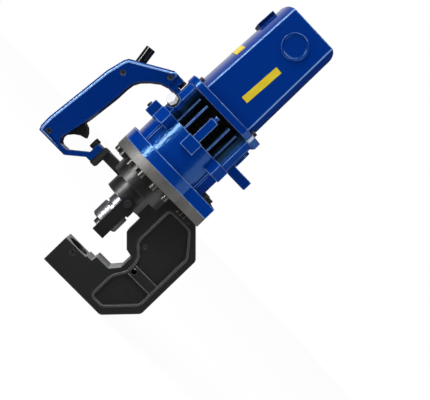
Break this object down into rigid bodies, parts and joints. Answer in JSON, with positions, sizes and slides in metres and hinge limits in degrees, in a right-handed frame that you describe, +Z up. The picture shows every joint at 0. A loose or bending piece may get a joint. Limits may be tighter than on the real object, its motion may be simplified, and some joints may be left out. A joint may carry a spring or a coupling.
{
  "type": "hydraulic hole punch",
  "caption": "Portable electric hydraulic hole punch: black C-frame with die seat, ram and punch, finned blue pump housing, motor cover and D-handle with trigger.",
  "frame": {"origin": "on the punch axis at the flat bottom of the C-frame", "axes": "+Z up along the ram, +X toward the spine, -X toward the handle"},
  "size_m": [0.2318, 0.1166, 0.393],
  "materials": {
    "blue_enamel": "gloss blue paint on cast aluminium",
    "blue_shell": "gloss blue moulding",
    "black_casting": "satin black paint on cast steel, flange rim machined bare",
    "black_steel": "black oxide",
    "bright_steel": "bright",
    "chromed_steel": "polished",
    "grey_steel": "machined",
    "black_rubber": "matt",
    "black_plastic": "fine grain",
    "bronze": "turned",
    "yellow_film": "blank film"
  },
  "bodies": {
    "frame": {"pump_housing": "blue_enamel", "post_bolts": "blue_enamel", "motor_flange": "blue_enamel", "motor_cover": "blue_enamel", "side_caps": "blue_enamel", "front_vent": "blue_enamel", "upper_bracket": "blue_enamel", "release_block": "blue_enamel", "rest_foot": "blue_enamel", "rear_plate": "blue_enamel", "handle_near_half": "blue_shell", "handle_far_half": "blue_shell", "c_frame": "black_casting", "frame_head": "black_casting", "gear_case": "black_casting", "stripper_bars": "black_steel", "stripper_screws": "black_steel", "set_screws": "black_steel", "lug_bolts": "black_steel", "corner_screws": "black_steel", "handle_screws": "black_steel", "bracket_bolt": "black_steel", "handle_bolt": "black_steel", "return_spring": "bright_steel", "pump_plungers": "bright_steel", "plunger_springs": "bright_steel", "lower_bearing": "bright_steel", "upper_bearing": "bright_steel", "trigger_pin": "bright_steel", "trigger_spring": "bright_steel", "filler_plug": "bright_steel", "flange_bolts": "grey_steel", "pump_block": "grey_steel", "stator": "grey_steel", "filler_washer": "black_rubber", "rod_seal": "black_rubber", "oil_bladder": "black_rubber", "cord_guard": "black_rubber", "handle_pad": "black_rubber", "brushes": "black_plastic", "switch_body": "black_plastic", "rod_bush": "bronze", "shaft_bushes": "bronze", "brush_holders": "bronze", "stickers": "yellow_film"},
    "ram": {"ram": "chromed_steel", "ram_piston": "grey_steel", "piston_seal": "black_rubber", "punch_nut": "chromed_steel", "punch": "grey_steel"},
    "trigger": {"trigger": "black_plastic"},
    "armature": {"armature_shaft": "bright_steel", "armature_core": "grey_steel", "commutator": "bronze", "armature_pinion": "bright_steel", "motor_fan": "black_plastic"},
    "eccentric": {"eccentric_shaft": "bright_steel", "eccentric_bearing": "grey_steel", "drive_gear": "bright_steel"},
    "release_screw": {"release_screw": "black_steel"}
  },
  "joints": [
    {"name": "ram_slide", "type": "slide", "parent": "frame", "child": "ram", "axis": [0, 0, -1], "range_m": [0, 0.021], "stiffness_N_per_m": 3000, "springref_m": -0.02, "deforming": ["return_spring"]},
    {"name": "trigger_pull", "type": "hinge", "parent": "frame", "child": "trigger", "pos_m": [-0.10109, 0, 0.13851], "axis": [0, 1, 0], "range_deg": [0, 12], "stiffness_Nm_per_rad": 0.4, "springref_deg": -14.9, "deforming": ["trigger_spring"]},
    {"name": "motor_spin", "type": "hinge", "parent": "frame", "child": "armature", "pos_m": [0.0048, 0, 0.3], "axis": [0, 0, 1], "continuous": true},
    {"name": "pump_spin", "type": "hinge", "parent": "frame", "child": "eccentric", "pos_m": [-0.0172, 0, 0.22], "axis": [0, 0, 1], "continuous": true},
    {"name": "release_turn", "type": "hinge", "parent": "frame", "child": "release_screw", "pos_m": [-0.055, -0.013, 0.207], "axis": [1, 0, 0], "range_deg": [0, 180]}
  ],
  "couplings": [
    {"joint": "pump_spin", "follows": "motor_spin", "ratio": -0.33333}
  ]
}
